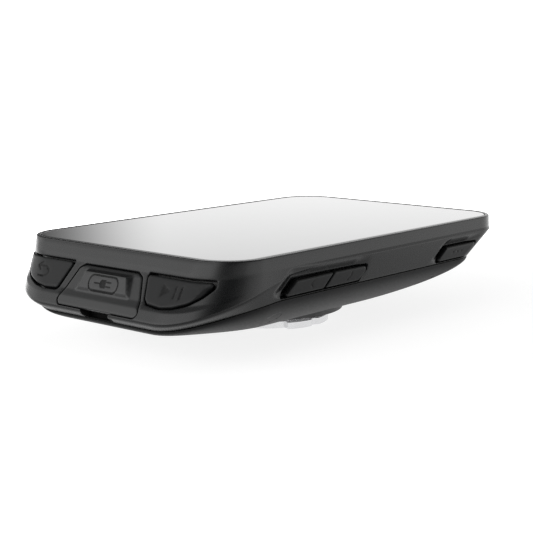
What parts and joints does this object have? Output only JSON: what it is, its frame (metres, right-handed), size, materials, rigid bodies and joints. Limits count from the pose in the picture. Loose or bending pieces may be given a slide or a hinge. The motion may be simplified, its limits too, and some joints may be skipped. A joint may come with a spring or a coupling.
{
  "type": "cycling computer",
  "caption": "Handlebar cycling computer with a full-face touch screen, leaning chin with two keys and a port flap, three side keys and a quarter-turn foot.",
  "frame": {"origin": "centre of the quarter-turn foot's underside", "axes": "+X to the screen's right, +Y to the far end of the screen, +Z out of the glass"},
  "size_m": [0.0642, 0.107, 0.022],
  "materials": {
    "housing_plastic": "fine satin grain",
    "rear_plastic": "fine matt grain",
    "seal_rubber": "matt silicone",
    "black_steel": "black oxide",
    "cover_glass": "polished, dark behind",
    "adhesive": "black tape",
    "display_glass": "polished",
    "white_plastic": "smooth",
    "flex_film": "polyimide film",
    "cast_metal": "as cast",
    "circuit_board": "solder mask",
    "screw_steel": "bright",
    "tinned_steel": "tinned",
    "antenna_ceramic": "ceramic",
    "chip_plastic": "moulded",
    "flap_rubber": "soft-touch",
    "key_plastic": "satin",
    "cell_foil": "laminated foil",
    "foam": "soft",
    "pad_plastic": "matt",
    "foot_metal": "fine turned"
  },
  "bodies": {
    "device": {"front_housing": "housing_plastic", "rear_housing": "rear_plastic", "housing_seal": "seal_rubber", "housing_screws": "black_steel", "screw_plugs": "rear_plastic", "cover_glass": "cover_glass", "glass_adhesive": "adhesive", "touch_panel": "display_glass", "lcd_panel": "display_glass", "backlight": "white_plastic", "display_flex": "flex_film", "midframe": "cast_metal", "main_board": "circuit_board", "board_screws": "screw_steel", "processor_can": "tinned_steel", "radio_can": "tinned_steel", "gps_antenna": "antenna_ceramic", "wireless_antenna": "flex_film", "light_sensor": "chip_plastic", "buzzer": "chip_plastic", "usb_port": "screw_steel", "port_gasket": "seal_rubber", "flap_anchor": "flap_rubber", "key_seals": "seal_rubber", "front_switches": "chip_plastic", "side_switches": "chip_plastic", "battery": "cell_foil", "battery_pad": "foam", "battery_plug": "white_plastic", "vent_membrane": "foam", "foot_plate": "screw_steel", "foot_pad": "pad_plastic", "quarter_turn_foot": "foot_metal", "foot_screws": "screw_steel"},
    "flap": {"port_flap": "flap_rubber"},
    "back": {"back_key": "key_plastic"},
    "start": {"start_key": "key_plastic"},
    "page_back": {"page_back_key": "key_plastic"},
    "page_next": {"page_next_key": "key_plastic"},
    "menu": {"menu_key": "key_plastic"}
  },
  "joints": [
    {"name": "flap_hinge", "type": "hinge", "parent": "device", "child": "flap", "pos_m": [0, -0.04805, 0.0177], "axis": [-1, 0, 0], "range_deg": [0, 90], "stiffness_Nm_per_rad": 0.001},
    {"name": "back_press", "type": "slide", "parent": "device", "child": "back", "axis": [0, 0.8526, -0.5225], "range_m": [0, 0.0004], "stiffness_N_per_m": 2500},
    {"name": "start_press", "type": "slide", "parent": "device", "child": "start", "axis": [0, 0.8526, -0.5225], "range_m": [0, 0.0004], "stiffness_N_per_m": 2500},
    {"name": "page_back_press", "type": "slide", "parent": "device", "child": "page_back", "axis": [-1, 0, 0], "range_m": [0, 0.00035], "stiffness_N_per_m": 2500},
    {"name": "page_next_press", "type": "slide", "parent": "device", "child": "page_next", "axis": [-1, 0, 0], "range_m": [0, 0.00035], "stiffness_N_per_m": 2500},
    {"name": "menu_press", "type": "slide", "parent": "device", "child": "menu", "axis": [-1, 0, 0], "range_m": [0, 0.00035], "stiffness_N_per_m": 2500}
  ]
}
